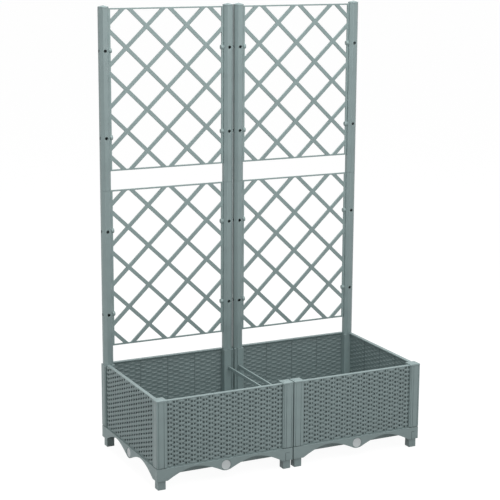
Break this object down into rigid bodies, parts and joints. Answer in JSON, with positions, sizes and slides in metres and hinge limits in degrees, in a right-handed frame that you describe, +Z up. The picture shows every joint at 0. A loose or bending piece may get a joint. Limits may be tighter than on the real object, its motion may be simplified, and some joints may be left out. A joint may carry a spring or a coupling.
{
  "type": "planter with trellis",
  "caption": "Double planter box with woven-look panels on scalloped, footed bases, and a diamond lattice trellis rising behind on octagonal tubes.",
  "frame": {"origin": "on the floor, in the middle of the footprint", "axes": "+Z up, the front towards -Y, the two boxes side by side along X"},
  "size_m": [0.8, 0.4, 1.2335],
  "materials": {
    "frame_plastic": "satin moulded grey-green plastic",
    "base_plastic": "satin moulded grey-green plastic, a little darker",
    "weave_plastic": "moulded basket weave",
    "lattice_plastic": "satin moulded plastic",
    "plug_plastic": "light grey moulded plastic"
  },
  "bodies": {
    "root": {"left_base": "base_plastic", "left_foot_front_left": "base_plastic", "left_post_front_left": "frame_plastic", "left_post_cap_front_left": "frame_plastic", "left_foot_front_right": "base_plastic", "left_post_front_right": "frame_plastic", "left_post_cap_front_right": "frame_plastic", "left_foot_back_right": "base_plastic", "left_post_back_right": "frame_plastic", "left_foot_back_left": "base_plastic", "left_post_back_left": "frame_plastic", "left_tube_lower_left": "frame_plastic", "left_tube_upper_left": "frame_plastic", "left_tube_cap_left": "frame_plastic", "left_tube_lower_right": "frame_plastic", "left_tube_upper_right": "frame_plastic", "left_tube_cap_right": "frame_plastic", "left_panel_front": "weave_plastic", "left_panel_back": "weave_plastic", "left_panel_side": "weave_plastic", "left_lattice_lower": "lattice_plastic", "left_lattice_upper": "lattice_plastic", "left_tie_bar": "frame_plastic", "right_base": "base_plastic", "right_foot_front_left": "base_plastic", "right_post_front_left": "frame_plastic", "right_post_cap_front_left": "frame_plastic", "right_foot_front_right": "base_plastic", "right_post_front_right": "frame_plastic", "right_post_cap_front_right": "frame_plastic", "right_foot_back_right": "base_plastic", "right_post_back_right": "frame_plastic", "right_foot_back_left": "base_plastic", "right_post_back_left": "frame_plastic", "right_tube_lower_left": "frame_plastic", "right_tube_upper_left": "frame_plastic", "right_tube_cap_left": "frame_plastic", "right_tube_lower_right": "frame_plastic", "right_tube_upper_right": "frame_plastic", "right_tube_cap_right": "frame_plastic", "right_panel_front": "weave_plastic", "right_panel_back": "weave_plastic", "right_panel_side": "weave_plastic", "right_lattice_lower": "lattice_plastic", "right_lattice_upper": "lattice_plastic", "right_tie_bar": "frame_plastic", "link_key_front": "base_plastic", "link_key_back": "base_plastic"},
    "left_plug_front": {"left_plug_front": "plug_plastic"},
    "left_plug_back": {"left_plug_back": "plug_plastic"},
    "left_plug_side": {"left_plug_side": "plug_plastic"},
    "right_plug_front": {"right_plug_front": "plug_plastic"},
    "right_plug_back": {"right_plug_back": "plug_plastic"},
    "right_plug_side": {"right_plug_side": "plug_plastic"}
  },
  "joints": [
    {"name": "left_plug_front_pull", "type": "slide", "parent": "root", "child": "left_plug_front", "axis": [0, -1, 0], "range_m": [0, 0.03]},
    {"name": "left_plug_back_pull", "type": "slide", "parent": "root", "child": "left_plug_back", "axis": [0, 1, 0], "range_m": [0, 0.03]},
    {"name": "left_plug_side_pull", "type": "slide", "parent": "root", "child": "left_plug_side", "axis": [-1, 0, 0], "range_m": [0, 0.03]},
    {"name": "right_plug_front_pull", "type": "slide", "parent": "root", "child": "right_plug_front", "axis": [0, -1, 0], "range_m": [0, 0.03]},
    {"name": "right_plug_back_pull", "type": "slide", "parent": "root", "child": "right_plug_back", "axis": [0, 1, 0], "range_m": [0, 0.03]},
    {"name": "right_plug_side_pull", "type": "slide", "parent": "root", "child": "right_plug_side", "axis": [1, 0, 0], "range_m": [0, 0.03]}
  ]
}
